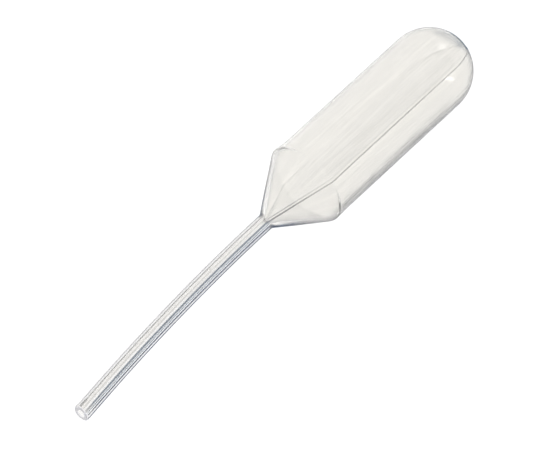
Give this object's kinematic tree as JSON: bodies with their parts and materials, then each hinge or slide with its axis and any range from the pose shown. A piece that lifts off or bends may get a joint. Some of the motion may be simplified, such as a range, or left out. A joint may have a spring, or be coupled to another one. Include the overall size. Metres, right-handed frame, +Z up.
{
  "type": "plastic dropper pipette",
  "caption": "One-piece soft clear plastic dropper pipette with a capsule-shaped squeeze bulb, a cone and a long thin stem open at its tip, lying on its side.",
  "frame": {"origin": "on the surface that the pipette lies on, below the middle of its bounding box", "axes": "+X from the stem's open tip to the dome of the bulb, along the bulb's axis; +Z up; the mould's parting plane holds the bulb's axis and is rolled 48.8 degrees from upright towards -Y"},
  "size_m": [0.1428, 0.0222, 0.0223],
  "materials": {
    "clear_plastic": "translucent colourless low-density polyethylene, glossy with faint lengthwise mould flow lines"
  },
  "bodies": {
    "root": {"pipette": "clear_plastic"}
  },
  "joints": []
}
